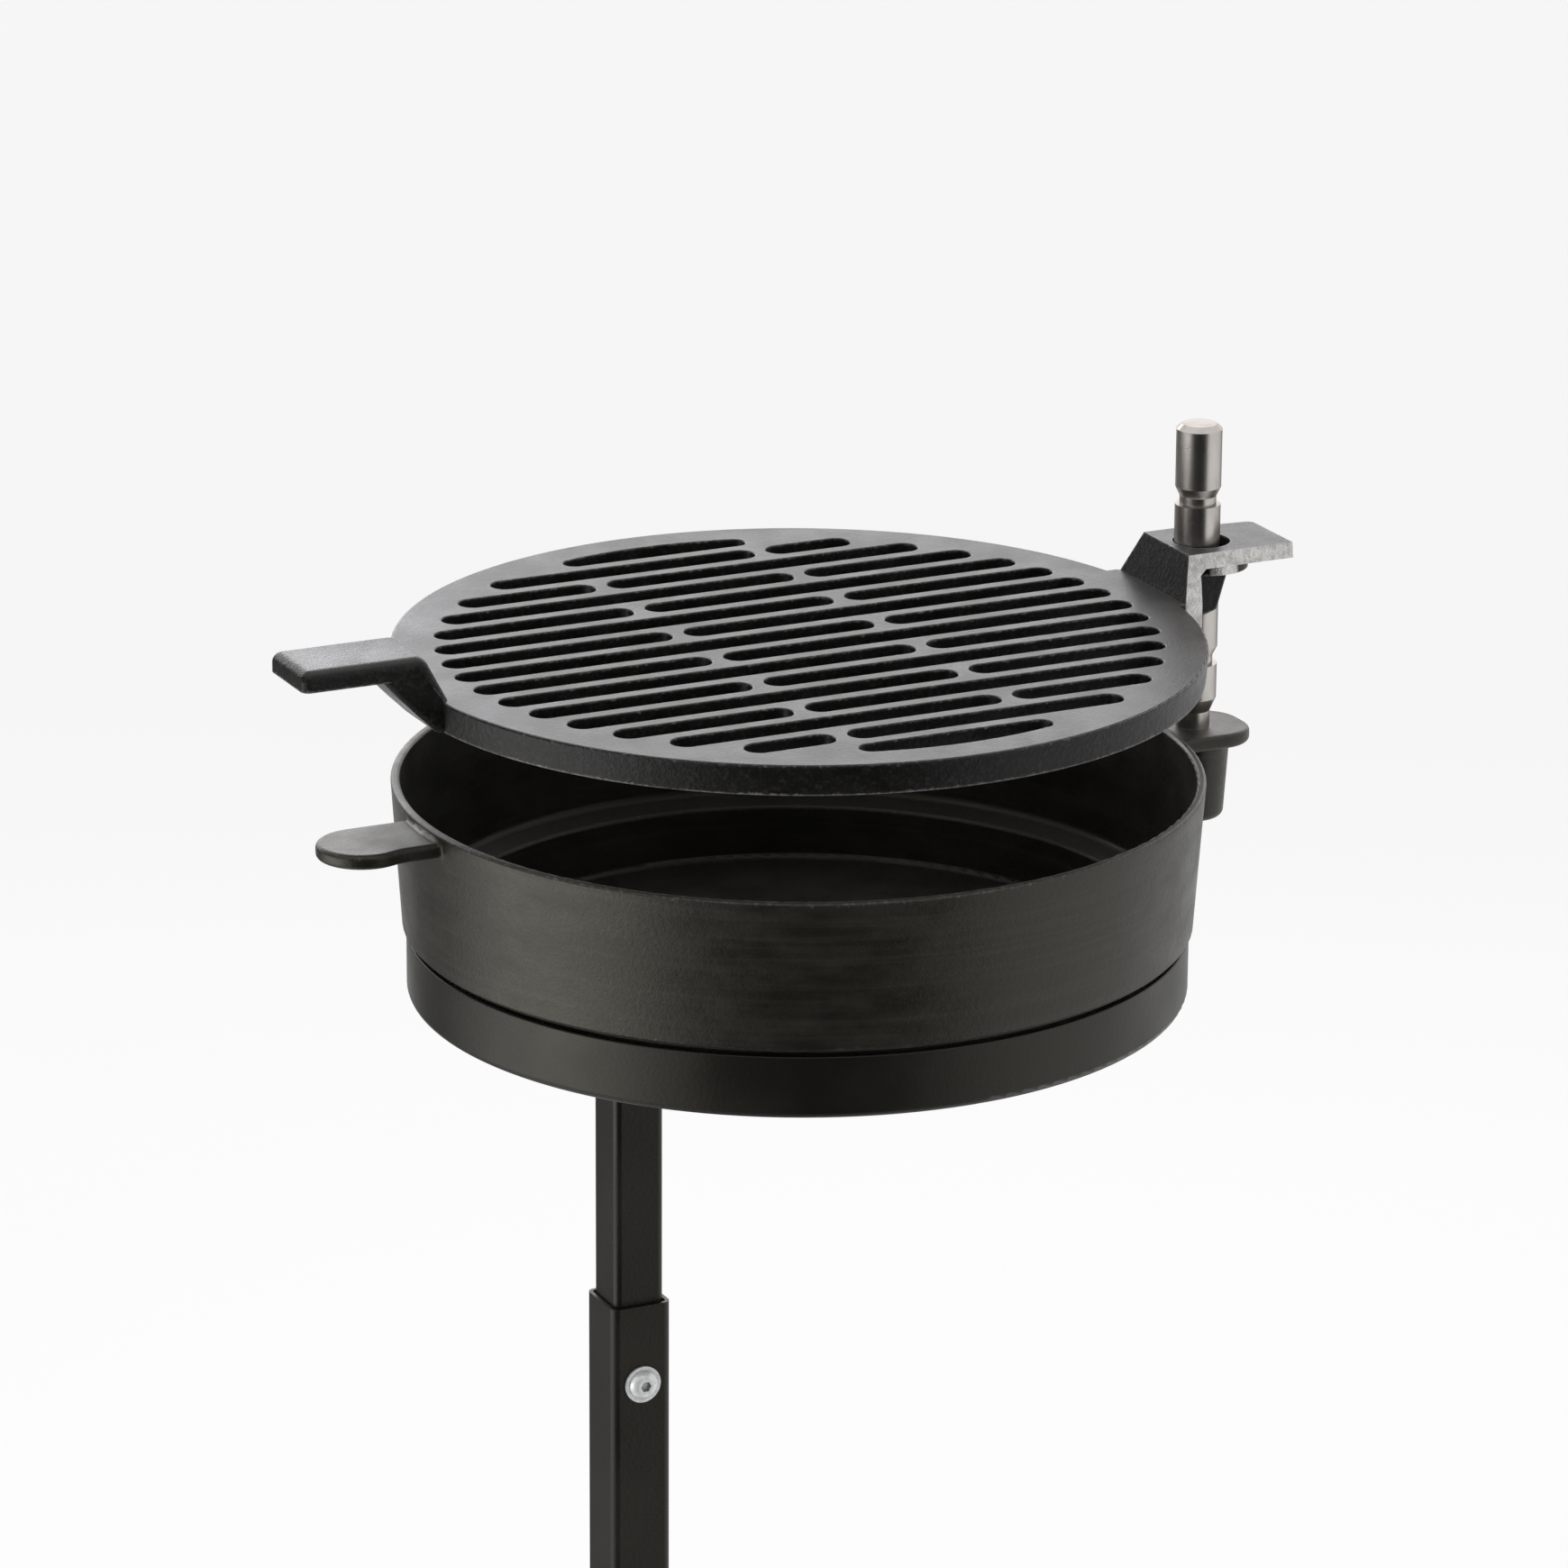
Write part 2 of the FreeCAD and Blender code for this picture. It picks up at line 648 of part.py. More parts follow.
def make_fire_bowl():
    """Cast bowl: drafted wall, shoulder over the dish, well inside the dish, two tabs, stud boss."""
    body = new_body("fire_bowl", x="post_offset", z=BOWL_LEVEL)
    foot = "(rim_radius - bowl_draft)"
    register = f"({PAN_RADIUS} - pan_wall - register_gap)"
    well = f"({register} - well_inset)"
    sole = "(pan_wall - pan_depth - seam_gap)"
    spin(body, "Revolution", "bowl_block", [
        ("0", sole),
        (f"{well} - well_draft", sole),
        (well, "-shoulder_drop"),
        (register, "-shoulder_drop"),
        (register, "0"),
        (f"{foot} - bowl_edge", "0"),
        (foot, "bowl_edge"),
        ("rim_radius", "bowl_height"),
        ("0", "bowl_height"),
    ])
    grip_end = f"({GRIP_REACH} - grip_width / 2)"
    arm = Drawing(body, "grip_arm_outline", "XY_Plane", offset=GRIP_TOP)
    arm.slot(f"-{grip_end}", "-rim_radius / 2", "grip_skew", "grip_arm / 2")
    extrude(body, "Pad", arm, "grip_arm", "tab_thickness", backwards=True)
    grip = Drawing(body, "grip_outline", "XY_Plane", offset=GRIP_TOP)
    grip.circle(f"-{grip_end}", "0", "grip_width / 2")
    extrude(body, "Pad", grip, "grip", "tab_thickness", backwards=True)
    seat = Drawing(body, "seat_outline", "XY_Plane", offset=SEAT_TOP)
    seat.outline([
        ("rim_radius / 2", "-seat_width / 2"),
        (SEAT_REACH, "-seat_width / 2"),
        (SEAT_REACH, "seat_width / 2"),
        ("rim_radius / 2", "seat_width / 2"),
    ])
    extrude(body, "Pad", seat, "seat", "tab_thickness", backwards=True)
    rim = value("rim_radius")
    soften(body, "Fillet", "grip_waist", "grip_width / 2",
           lambda edge: runs_along(edge, "z") and middle_of(edge).x < -rim - 3 and middle_of(edge).y < 0)
    soften(body, "Fillet", "seat_corners", "seat_corner",
           lambda edge: runs_along(edge, "z") and middle_of(edge).x > rim + 3)
    tops = [value(GRIP_TOP), value(SEAT_TOP)]
    soles = [top - value("tab_thickness") for top in tops]
    soften(body, "Fillet", "tab_edges", "tab_edge",
           lambda edge: any(at_level(edge, level) for level in tops + soles)
           and abs(middle_of(edge).x) > rim - 3
           and (is_straight(edge) or bend_of(edge) < value("grip_width")))
    soften(body, "Fillet", "tab_roots", "tab_root",
           lambda edge: any(at_level(edge, top) for top in tops)
           and abs(middle_of(edge).x) > rim / 2
           and not is_straight(edge) and bend_of(edge) > rim / 2)
    boss = body.newObject("PartDesign::AdditiveCone", "boss")
    plane = next(item for item in body.Origin.OriginFeatures if item.Role == "XY_Plane")
    boss.AttachmentSupport = [(plane, "")]
    boss.MapMode = "FlatFace"
    low = f"({SEAT_TOP} - boss_depth)"
    bind(boss, Radius1=BOSS_FOOT, Radius2=BOSS_RADIUS, Height="boss_depth - tab_thickness / 2",
         AttachmentOffset__Base__x=STUD_REACH, AttachmentOffset__Base__z=low)
    document.recompute()
    soften(body, "Fillet", "boss_foot", f"{BOSS_FOOT} / 4", lambda edge: at_level(edge, value(low)))
    inside = f"({well} - bowl_wall)"
    ledge = "(shoulder_rise - shoulder_drop)"
    floor = f"({sole} + floor_thickness)"
    spin(body, "Groove", "bowl_hollow", [
        ("0", floor),
        (f"{inside} - well_draft", floor),
        (inside, ledge),
        (f"{foot} - bowl_wall", "shoulder_rise"),
        ("rim_radius - bowl_wall", "bowl_height"),
        ("0", "bowl_height"),
    ])
    socket = Drawing(body, "socket_outline", "XY_Plane", offset=SEAT_TOP)
    socket.circle(STUD_REACH, "0", f"{PIN_RADIUS} + pin_clearance")
    extrude(body, "Pocket", socket, "socket", "socket_depth")
    soften(body, "Fillet", "rim_edges", "bowl_wall / 3", lambda edge: at_level(edge, value("bowl_height")))
    soften(body, "Fillet", "wall_root", "cast_fillet", lambda edge: at_level(edge, value("shoulder_rise")))
    soften(body, "Fillet", "ledge_edge", "well_edge",
           lambda edge: at_level(edge, value(ledge)) and abs(bend_of(edge) - value(inside)) < 0.01)
    soften(body, "Fillet", "floor_root", "floor_fillet", lambda edge: at_level(edge, value(floor)))
    return body


def make_stud():
    """Turned stud: a pin that drops into the boss, and a shank with grooves for the grate."""
    body = new_body("stud", x=f"post_offset + {STUD_REACH}", z=f"{BOWL_LEVEL} + {SEAT_TOP}")
    corners = [
        ("0", "-socket_depth"),
        (f"{PIN_RADIUS} - 1", "-socket_depth"),
        (PIN_RADIUS, "-socket_depth + 1"),
        (PIN_RADIUS, "pin_exposed"),
        ("stud_radius", "pin_exposed + pin_taper"),
    ]
    for groove in range(GROOVES):
        shoulder = f"first_groove + {groove} * groove_pitch"
        corners += [
            ("stud_radius", shoulder),
            (NECK_RADIUS, shoulder),
            (NECK_RADIUS, f"{shoulder} + neck_height"),
            ("stud_radius", f"{shoulder} + groove_rise"),
        ]
    corners += [
        ("stud_radius", "stud_height - stud_chamfer"),
        ("stud_radius - stud_chamfer", "stud_height"),
        ("0", "stud_height"),
    ]
    spin(body, "Revolution", "turned_stud", corners)
    return body


def count_rows():
    """As many rows as the round field takes, an even number, because no row lies in the middle."""
    return 2 * math.floor(value(f"({CRESCENT_FIELD} - slot_width / 2) / slot_pitch") + 0.5)


def cut_slots(body, rows):
    """Rows of long slots, each with one bridge, towards the stud and the handle by turns."""
    half = "(slot_width / 2)"
    for number in range(2, rows):
        drawing = Drawing(body, f"row_{number}_outline", "XY_Plane")
        side = f"({(rows + 1) / 2 - number} * slot_pitch)"
        tip = f"(sqrt({SLOT_FIELD} ^ 2 - {side} ^ 2) - {half})"
        bridge = "bridge_reach" if number % 2 == 0 else "(-bridge_reach)"
        gap = f"(bridge_width / 2 + {half})"
        drawing.slot(f"-{tip}", f"{bridge} - {gap}", side, half)
        drawing.slot(f"{bridge} + {gap}", tip, side, half)
        extrude(body, "Pocket", drawing, f"row_{number}", "grate_thickness", taper="slot_draft")


def cut_crescents(body, rows):
    """The first and last rows: one opening each, straight inside and round along the rim."""
    base = f"({(rows - 1) / 2} * slot_pitch - slot_width / 2)"
    lift = f"({base} + crescent_end)"
    reach = f"sqrt(({CRESCENT_FIELD} - crescent_end) ^ 2 - {lift} ^ 2)"
    touch = f"{CRESCENT_FIELD} / ({CRESCENT_FIELD} - crescent_end)"
    for name, way in (("far_crescent", "1"), ("near_crescent", "(-1)")):
        drawing = Drawing(body, f"{name}_outline", "XY_Plane")
        drawing.outline([
            (f"-{way} * {reach}", f"{way} * {base}"),
            (f"{way} * {reach}", f"{way} * {base}", "crescent_end"),
            (f"{way} * {reach} * {touch}", f"{way} * {lift} * {touch}", CRESCENT_FIELD),
            (f"-{way} * {reach} * {touch}", f"{way} * {lift} * {touch}", "crescent_end"),
        ])
        extrude(body, "Pocket", drawing, name, "grate_thickness", taper="slot_draft")


def make_grate():
    """Cast grate: slotted plate, raised handle on the post's side, hinge bracket at the stud."""
    body = new_body("grate", x="post_offset", z=GRATE_LEVEL)
    below = "(-grate_thickness)"
    plate = Drawing(body, "plate_outline", "XY_Plane")
    plate.circle("0", "0", GRATE_RADIUS)
    extrude(body, "Pad", plate, "plate", "grate_thickness", backwards=True, taper="-grate_draft")

    neck = f"({GRATE_RADIUS} - neck_foot)"
    fold = f"({neck} + neck_lean)"
    slab_low = "(handle_rise - handle_thickness)"
    handle = Drawing(body, "handle_profile", "XZ_Plane")
    handle.outline([
        (f"-{HANDLE_REACH}", "handle_rise"),
        (f"-{HANDLE_REACH}", slab_low),
        (f"-{fold} - neck_thickness", slab_low),
        (f"-{GRATE_RADIUS}", below),
        (f"-{neck} + 10", below),
        (f"-{neck} + 10", "0"),
        (f"-{neck}", "0"),
        (f"-{fold}", "handle_rise"),
    ])
    extrude(body, "Pad", handle, "handle", "handle_width", side="Symmetric")
    tip = value(HANDLE_REACH)
    soften(body, "Fillet", "handle_corners", "handle_corner",
           lambda edge: runs_along(edge, "z") and middle_of(edge).x < 0.01 - tip)
    soften(body, "Fillet", "handle_top", "handle_fold",
           lambda edge: runs_along(edge, "y") and at_level(edge, value("handle_rise"))
           and middle_of(edge).x > -value(GRATE_RADIUS) - value("neck_lean"))
    soften(body, "Fillet", "handle_upper_end", "handle_nose",
           lambda edge: runs_along(edge, "y") and at_level(edge, value("handle_rise"))
           and middle_of(edge).x < 0.01 - tip)
    web = Drawing(body, "web_profile", "XZ_Plane")
    web.outline([
        (f"-{GRATE_RADIUS} - web_reach", slab_low, "web_bow"),
        (f"-{GRATE_RADIUS} - 1", below),
        (f"-{GRATE_RADIUS} + 3", below),
        (f"-{GRATE_RADIUS} + 3", "0"),
        (f"-{fold}", slab_low),
    ])
    extrude(body, "Pad", web, "handle_web", "handle_width", side="Symmetric")
    soften(body, "Fillet", "web_edges", "web_edge",
           lambda edge: not is_straight(edge) and bend_of(edge) > value("web_bow") - 1
           and middle_of(edge).x < -value(GRATE_RADIUS)
           and abs(abs(middle_of(edge).y) - value("handle_width") / 2) < 0.01)

    wall = f"({GRATE_RADIUS} + wall_offset)"
    outer = f"({wall} + wall_thickness)"
    flange_low = "(flange_height - flange_thickness)"
    middle = "(bracket_near_foot - bracket_far_foot) / 2"
    bracket = Drawing(body, "bracket_profile", "XZ_Plane", offset=middle)
    bracket.outline([
        (f"{wall} - 12", below),
        (outer, below),
        (outer, f"{flange_low} - 3"),
        (f"{outer} + 3", flange_low),
        (BRACKET_REACH, flange_low),
        (BRACKET_REACH, "flange_height"),
        (f"{wall} + wall_lean", "flange_height"),
        (wall, "0"),
        (f"{wall} - 12", "0"),
    ])
    extrude(body, "Pad", bracket, "bracket", "bracket_near_foot + bracket_far_foot", side="Symmetric")
    sides = Drawing(body, "bracket_sides", "YZ_Plane", offset=GRATE_RADIUS)
    sides.outline([
        ("bracket_far_foot", "-grate_edge"),
        ("bracket_far_foot + 5", "-grate_edge"),
        ("bracket_far_foot + 5", "flange_height + 1"),
        ("bracket_far", "flange_height + 1"),
        ("bracket_far", "flange_height"),
    ])
    sides.outline([
        ("-bracket_near_foot", "-grate_edge"),
        ("-bracket_near", "flange_height"),
        ("-bracket_near", "flange_height + 1"),
        ("-bracket_near_foot - 5", "flange_height + 1"),
        ("-bracket_near_foot - 5", "-grate_edge"),
    ])
    extrude(body, "Pocket", sides, "bracket_flanks", BRACKET_REACH, backwards=True)
    taper = Drawing(body, "flange_taper_outline", "XY_Plane", offset="flange_height")
    taper.outline([
        (STUD_REACH, "bracket_far"),
        (BRACKET_REACH, "bracket_far - bracket_taper"),
        (BRACKET_REACH, "bracket_far_foot"),
        (STUD_REACH, "bracket_far_foot"),
    ])
    extrude(body, "Pocket", taper, "flange_taper", "flange_thickness")
    soften(body, "Fillet", "flange_corners", "bracket_corner",
           lambda edge: runs_along(edge, "z") and middle_of(edge).x > value(BRACKET_REACH) - 0.01)
    pad = Drawing(body, "pad_outline", "XY_Plane", offset=flange_low)
    pad.circle(f"{STUD_REACH} + pad_shift", "0", f"{HOLE_RADIUS} + pad_rim")
    extrude(body, "Pad", pad, "stud_pad", "pad_thickness", backwards=True)
    ribs = Drawing(body, "rib_profile", "XZ_Plane")
    ribs.outline([
        (f"{outer} - 1", "-rib_foot"),
        (outer, "-rib_foot"),
        (f"{STUD_REACH} + 2", "-rib_foot + 4"),
        (f"{STUD_REACH} + 7.5", PAD_UNDERSIDE),
        (f"{STUD_REACH} + 7.5", f"{flange_low} + 1"),
        (f"{outer} - 1", f"{flange_low} + 1"),
    ])
    extrude(body, "Pad", ribs, "bracket_ribs", "rib_outer", side="Symmetric")
    gap = Drawing(body, "rib_gap", "XZ_Plane")
    gap.outline([
        (outer, "-grate_thickness - 1"),
        (f"{STUD_REACH} + 9", "-grate_thickness - 1"),
        (f"{STUD_REACH} + 9", PAD_UNDERSIDE),
        (outer, PAD_UNDERSIDE),
    ])
    extrude(body, "Pocket", gap, "bracket_rib_gap", "rib_inner", side="Symmetric")
    hole = Drawing(body, "stud_hole_outline", "XY_Plane", offset="flange_height")
    hole.circle(f"{STUD_REACH} + stud_hole_shift", "0", HOLE_RADIUS)
    extrude(body, "Pocket", hole, "stud_passage", "flange_height + grate_thickness")
    rows = count_rows()
    cut_slots(body, rows)
    cut_crescents(body, rows)
    soften(body, "Fillet", "slot_edges", "slot_edge",
           lambda edge: at_level(edge, 0)
           and math.hypot(middle_of(edge).x, middle_of(edge).y) < value(CRESCENT_FIELD) + 1)
    soften(body, "Fillet", "plate_rim", "grate_edge",
           lambda edge: at_level(edge, 0) and not is_straight(edge)
           and bend_of(edge) > value(CRESCENT_FIELD) + 1)
    return body


MAKERS = [
    make_base_plate, make_base_gussets, make_lower_tube, make_upper_tube,
    make_clamp_bolt, make_head_washer, make_nut_washer, make_clamp_nut,
    make_support_plate, make_support_rib, make_pan, make_pan_studs, make_pan_washers, make_pan_nuts,
    make_fire_bowl, make_stud, make_grate,
]


def check_document(bodies):
    """Stops the build when any object failed or any piece is not a sound solid."""
    document.recompute()
    for item in document.Objects:
        if {"Invalid", "Error"} & set(item.State):
            raise ValueError(f"{item.Label} is in state {item.State}")
    for body in bodies:
        shape = body.Shape
        if shape.isNull() or not shape.isValid() or not shape.Solids:
            raise ValueError(f"{body.Label} has no sound shape")
        print(f"{body.Label}: {len(shape.Solids)} solids, {shape.Volume / 1000:.1f} cm3")


made = [maker() for maker in MAKERS]
check_document(made)
os.makedirs("parts", exist_ok=True)
for piece in made:
    piece.Shape.exportStep(f"parts/{piece.Label}.step")
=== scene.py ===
"""The visual model of the park barbecue grill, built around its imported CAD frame.

The CAD pieces keep their shapes and get procedural materials, weld beads are laid where pieces are
welded, and the studio is the photograph's. Lengths are in metres and colours are linear.
"""

import json
import math

import bpy
from mathutils import Matrix, Vector


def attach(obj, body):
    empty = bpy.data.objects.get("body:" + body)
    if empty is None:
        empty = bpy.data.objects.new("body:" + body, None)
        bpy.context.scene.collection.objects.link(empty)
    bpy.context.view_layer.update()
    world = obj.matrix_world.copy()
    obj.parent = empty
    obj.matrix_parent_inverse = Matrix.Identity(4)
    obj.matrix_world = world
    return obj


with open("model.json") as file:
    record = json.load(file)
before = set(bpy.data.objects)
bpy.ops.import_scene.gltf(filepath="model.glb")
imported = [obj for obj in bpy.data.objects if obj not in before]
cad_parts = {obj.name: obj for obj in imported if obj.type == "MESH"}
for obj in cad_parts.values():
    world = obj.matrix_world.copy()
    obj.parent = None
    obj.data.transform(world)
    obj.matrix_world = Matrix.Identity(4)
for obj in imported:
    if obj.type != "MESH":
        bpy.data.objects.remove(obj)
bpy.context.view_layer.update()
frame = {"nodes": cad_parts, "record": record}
NODES = frame["nodes"]

# The bowl's axis and the level of its lower edge
BOWL_X = 0.092
BOWL_Z = 0.7735
BOWL_CENTRE = Vector((BOWL_X, 0, BOWL_Z))

# The grate's bracket is bare from here outwards, and from here towards its near face
BRACKET_X = 0.2945
BRACKET_Y = -0.0208

# The camera, fitted to the photograph: it stands this far back from the bowl's lower edge and above
# it, after a turn round the bowl's axis; its own turns are in radians
VIEW_TURN = math.radians(26.0)
TURN = Matrix.Rotation(-VIEW_TURN, 3, "Z")
CAMERA_BACK = 3.3732
CAMERA_UP = 1.1669
CAMERA_PITCH = 0.31452
CAMERA_YAW = -0.0021
CAMERA_ROLL = 0.00582
PICTURE_SIDE = 1740
FOCAL_PIXELS = 8000
SENSOR_MM = 36.0
NEAR_CLIP = 0.1
FAR_CLIP = 100

# Pairs of colours that a material drifts between, then the single ones
BOWL_IRON = (0.0085, 0.0081, 0.0063), (0.0155, 0.0148, 0.0122)
GRATE_IRON = (0.0054, 0.0051, 0.0046), (0.0102, 0.0097, 0.009)
BLACK_COAT = (0.0062, 0.006, 0.005), (0.01716, 0.0168, 0.015)
BRIGHT_STEEL = (0.58, 0.55, 0.52), (0.46, 0.43, 0.4)
ZINC = (0.86, 0.87, 0.87), (0.7, 0.71, 0.72)
WORN_IRON = (0.3, 0.29, 0.275)
BARE_STEEL = (0.72, 0.71, 0.69)
# A grey painted into hollows and creases as shade
HOLLOW_SHADE = (0.12, 0.12, 0.115)

# What tints the gloss of a material, and the lamps
WARM_GLOSS = (1.0, 0.96, 0.84)
COOL_GLOSS = (0.98, 0.965, 0.99)
STEEL_GLOSS = (0.3, 0.3, 0.3)
WARM_LIGHT = (1.0, 0.985, 0.95)
COOL_LIGHT = (0.975, 0.965, 1.0)

# A weld bead: its size, its ripples and how they drift, and how its thickness wanders
WELD_RADIUS = 0.0024
WELD_SIDES = 10
RIPPLE_PITCH = 0.0032
RINGS_PER_RIPPLE = 5
RIPPLE_DEPTH = 0.16
RIPPLE_DRIFT = 0.6
DRIFT_LENGTH = 0.011
WANDER = 0.07
WANDER_LENGTH = 0.0047
# How thin its tip is, what it leaves free at the end of an edge, and where beads would meet
WELD_TIP = 0.0004
WELD_END = 0.001
WELD_CLEAR = 0.003
# The round corners of the square tubes
TUBE_CORNER = 0.003
CORNER_STEPS = 6

# The floor: how far it reaches, the tone of its paper, and the share of white where it is only seen
FLOOR_REACH = 30.0
FLOOR_TONE = 0.75
FLOOR_WHITE = 0.8
# The dome's strength as light; where it is seen it is white
DOME_LIGHT = 0.8

# Dark cards: a tone, the corners as studio() takes them, and the faces
CARD_FOOT = 0.01 - BOWL_Z
CARDS = {
    "front_flag": (
        0.02,
        [(-0.35, -0.45, CARD_FOOT), (0.55, -0.45, CARD_FOOT),
         (4.8, -5.0, CARD_FOOT), (-3.4, -5.0, CARD_FOOT),
         (4.8, -5.0, 3.0), (-3.4, -5.0, 3.0)],
        [(0, 1, 2, 3), (3, 2, 4, 5)]),
    "left_flag": (
        0.2,
        [(-3.4, -3.0, 0.15), (-3.4, 1.0, 0.15), (-3.4, 1.0, 2.5), (-3.4, -3.0, 2.5),
         (-3.4, 1.0, CARD_FOOT), (-2.0, 3.0, CARD_FOOT), (-2.0, 3.0, 2.5),
         (-0.56, 0.2, CARD_FOOT), (-0.34, 0.49, CARD_FOOT)],
        [(0, 1, 2, 3), (4, 5, 6, 2), (4, 5, 8, 7)]),
}


# Materials

def scaled(color, factor):
    return tuple(factor * channel for channel in color)


class Look:
    """A material whose colour, roughness and bump are procedural, in the object's own space."""

    def __init__(self, name, metallic=0.0, specular=0.5, tint=(1, 1, 1)):
        self.material = bpy.data.materials.new(name)
        self.material.use_nodes = True
        self.tree = self.material.node_tree
        self.shader = self.tree.nodes["Principled BSDF"]
        self.shader.inputs["Metallic"].default_value = metallic
        self.shader.inputs["Specular IOR Level"].default_value = specular
        self.shader.inputs["Specular Tint"].default_value = (*tint, 1)
        where = self.add("ShaderNodeTexCoord")
        self.place = where.outputs["Object"]
        self.facing = where.outputs["Normal"]

    def add(self, kind, **settings):
        node = self.tree.nodes.new(kind)
        for name, setting in settings.items():
            setattr(node, name, setting)
        return node

    def feed(self, socket, source):
        """Links a socket to another node's output, or sets it to a plain value."""
        if isinstance(source, bpy.types.NodeSocket):
            self.tree.links.new(source, socket)
        else:
            socket.default_value = source

    def combine(self, operation, result, *sources):
        """Applies an operation of two sources from the first to the last."""
        for source in sources:
            node = self.add("ShaderNodeMath", operation=operation)
            self.feed(node.inputs[0], result)
            self.feed(node.inputs[1], source)
            result = node.outputs[0]
        return result

    def total(self, *sources):
        return self.combine("ADD", *sources)

    def product(self, *sources):
        return self.combine("MULTIPLY", *sources)

    def parts_of(self, vector):
        node = self.add("ShaderNodeSeparateXYZ")
        self.feed(node.inputs[0], vector)
        return node.outputs

    def upward(self):
        """1 where the surface faces up, 0 where it stands, -1 where it faces down."""
        return self.parts_of(self.facing)[2]

    def noise(self, grain, detail, stretch=(1, 1, 1), shift=(0, 0, 0), roughness=0.5):
        """Noise with a grain in metres, stretched by a factor along each axis and shifted."""
        mapping = self.add("ShaderNodeMapping")
        mapping.inputs["Scale"].default_value = tuple(1 / (grain * factor) for factor in stretch)
        mapping.inputs["Location"].default_value = shift
        self.feed(mapping.inputs["Vector"], self.place)
        noise = self.add("ShaderNodeTexNoise")
        noise.inputs["Scale"].default_value = 1.0
        noise.inputs["Detail"].default_value = detail
        noise.inputs["Roughness"].default_value = roughness
        self.feed(noise.inputs["Vector"], mapping.outputs[0])
        return noise.outputs["Fac"]

    def ramp(self, source, low, high, start=0.0, end=1.0):
        """A smooth step from start to end while the source goes from low to high."""
        node = self.add("ShaderNodeMapRange", interpolation_type="SMOOTHSTEP")
        limits = {"From Min": low, "From Max": high, "To Min": start, "To Max": end}
        for name, value in limits.items():
            node.inputs[name].default_value = value
        self.feed(node.inputs["Value"], source)
        return node.outputs[0]

    def blend(self, share, first, second):
        """The first colour where the share is 0 and the second where it is 1."""
        node = self.add("ShaderNodeMix", data_type="RGBA")
        self.feed(node.inputs["Factor"], share)
        for socket, color in ((node.inputs[6], first), (node.inputs[7], second)):
            is_source = isinstance(color, bpy.types.NodeSocket)
            self.feed(socket, color if is_source else (*color, 1))
        return node.outputs[2]

    def openness(self, distance, **settings):
        """The share of directions that are free of surfaces over a distance."""
        node = self.add("ShaderNodeAmbientOcclusion", samples=8, **settings)
        node.inputs["Distance"].default_value = distance
        return node.outputs["AO"]

    def edges(self, width, ragged):
        """1 where an outer edge is within the width, 0 elsewhere, broken up by a ragged source."""
        inside = self.openness(width, inside=True, only_local=True)
        return self.ramp(self.total(inside, ragged), 0.8, 0.5)

    def finish(self, color, roughness, height, depth):
        """Feeds the shader; the height is in shares of the depth, which is in metres."""
        self.feed(self.shader.inputs["Base Color"], color)
        self.feed(self.shader.inputs["Roughness"], roughness)
        bump = self.add("ShaderNodeBump")
        bump.inputs["Distance"].default_value = depth
        self.feed(bump.inputs["Height"], height)
        self.feed(self.shader.inputs["Normal"], bump.outputs[0])
        return self.material


def cast_iron(name, tones, gloss, specular, top_wear_and_light, smooth, satin, specks, brushed, worn, relief,
              bare=None):
    """A satin casting: ground on top, a grainy skin on its sides, worn along its outer edges.

    The top is top_wear_and_light times as light as the skin, partly from ground wear and partly as
    painted light falling from above; smooth is its roughness, and satin the skin's.
    The shares of bare iron are specks in the skin and worn along the edges; brushed is the
    strength of the level brush marks, and relief the depth of the grain in metres. bare, where it
    is given, says where the iron is ground to bright metal.
    """
    look = Look(name, specular=specular, tint=gloss)
    mottle = look.noise(grain=0.03, detail=5, stretch=(1, 1, 0.5), roughness=0.6)
    grain = look.noise(grain=0.0011, detail=3)
    skin = look.noise(grain=0.0028, detail=4, shift=(3, 1, 2), roughness=0.65)
    marks = look.noise(grain=0.003, detail=4, stretch=(45, 45, 1))
    side = look.ramp(look.upward(), 0.85, 0.5)

    patchy = look.ramp(mottle, 0.3, 0.72)
    dark, light = tones
    # Upward faces are painted lighter than the sides: partly ground wear, partly painted light
    # falling from above
    top = look.blend(patchy, scaled(dark, top_wear_and_light), scaled(light, top_wear_and_light))
    wall = look.blend(patchy, dark, light)
    wall = look.blend(look.ramp(marks, 0.45, 0.75, end=brushed), wall, scaled(light, 2))
    wall = look.blend(look.ramp(skin, 0.48, 0.72, end=specks), wall, WORN_IRON)
    edge = look.edges(width=0.002, ragged=look.product(look.total(skin, -0.5), 1.1))
    color = look.blend(look.product(edge, worn), look.blend(side, top, wall), WORN_IRON)
    if bare:
        share = bare(look)
        color = look.blend(share, color, BARE_STEEL)
        look.feed(look.shader.inputs["Metallic"], share)

    rough = look.total(look.ramp(mottle, 0.3, 0.7, end=0.1), look.product(grain, 0.14),
                       look.ramp(look.upward(), 0.5, 0.85, start=satin, end=smooth))
    coarse = look.product(skin, look.total(look.product(side, 0.8), 0.5))
    height = look.total(look.product(grain, 0.45), coarse, look.product(marks, 0.8 * brushed))
    return look.finish(color, rough, height, depth=relief)


def bare_bracket(look):
    """The near faces of the grate's bracket, which are ground to bare metal and pitted."""
    x, y, _ = look.parts_of(look.place)
    facing = look.ramp(look.parts_of(look.facing)[1], -0.6, -0.95)
    outside = look.ramp(x, BRACKET_X - 0.002, BRACKET_X)
    near = look.ramp(y, BRACKET_Y + 0.0012, BRACKET_Y)
    pits = look.noise(grain=0.006, detail=5, shift=(1, 5, 2), roughness=0.6)
    pitted = look.ramp(pits, 0.3, 0.62, start=0.6, end=0.97)
    return look.product(facing, outside, near, pitted)


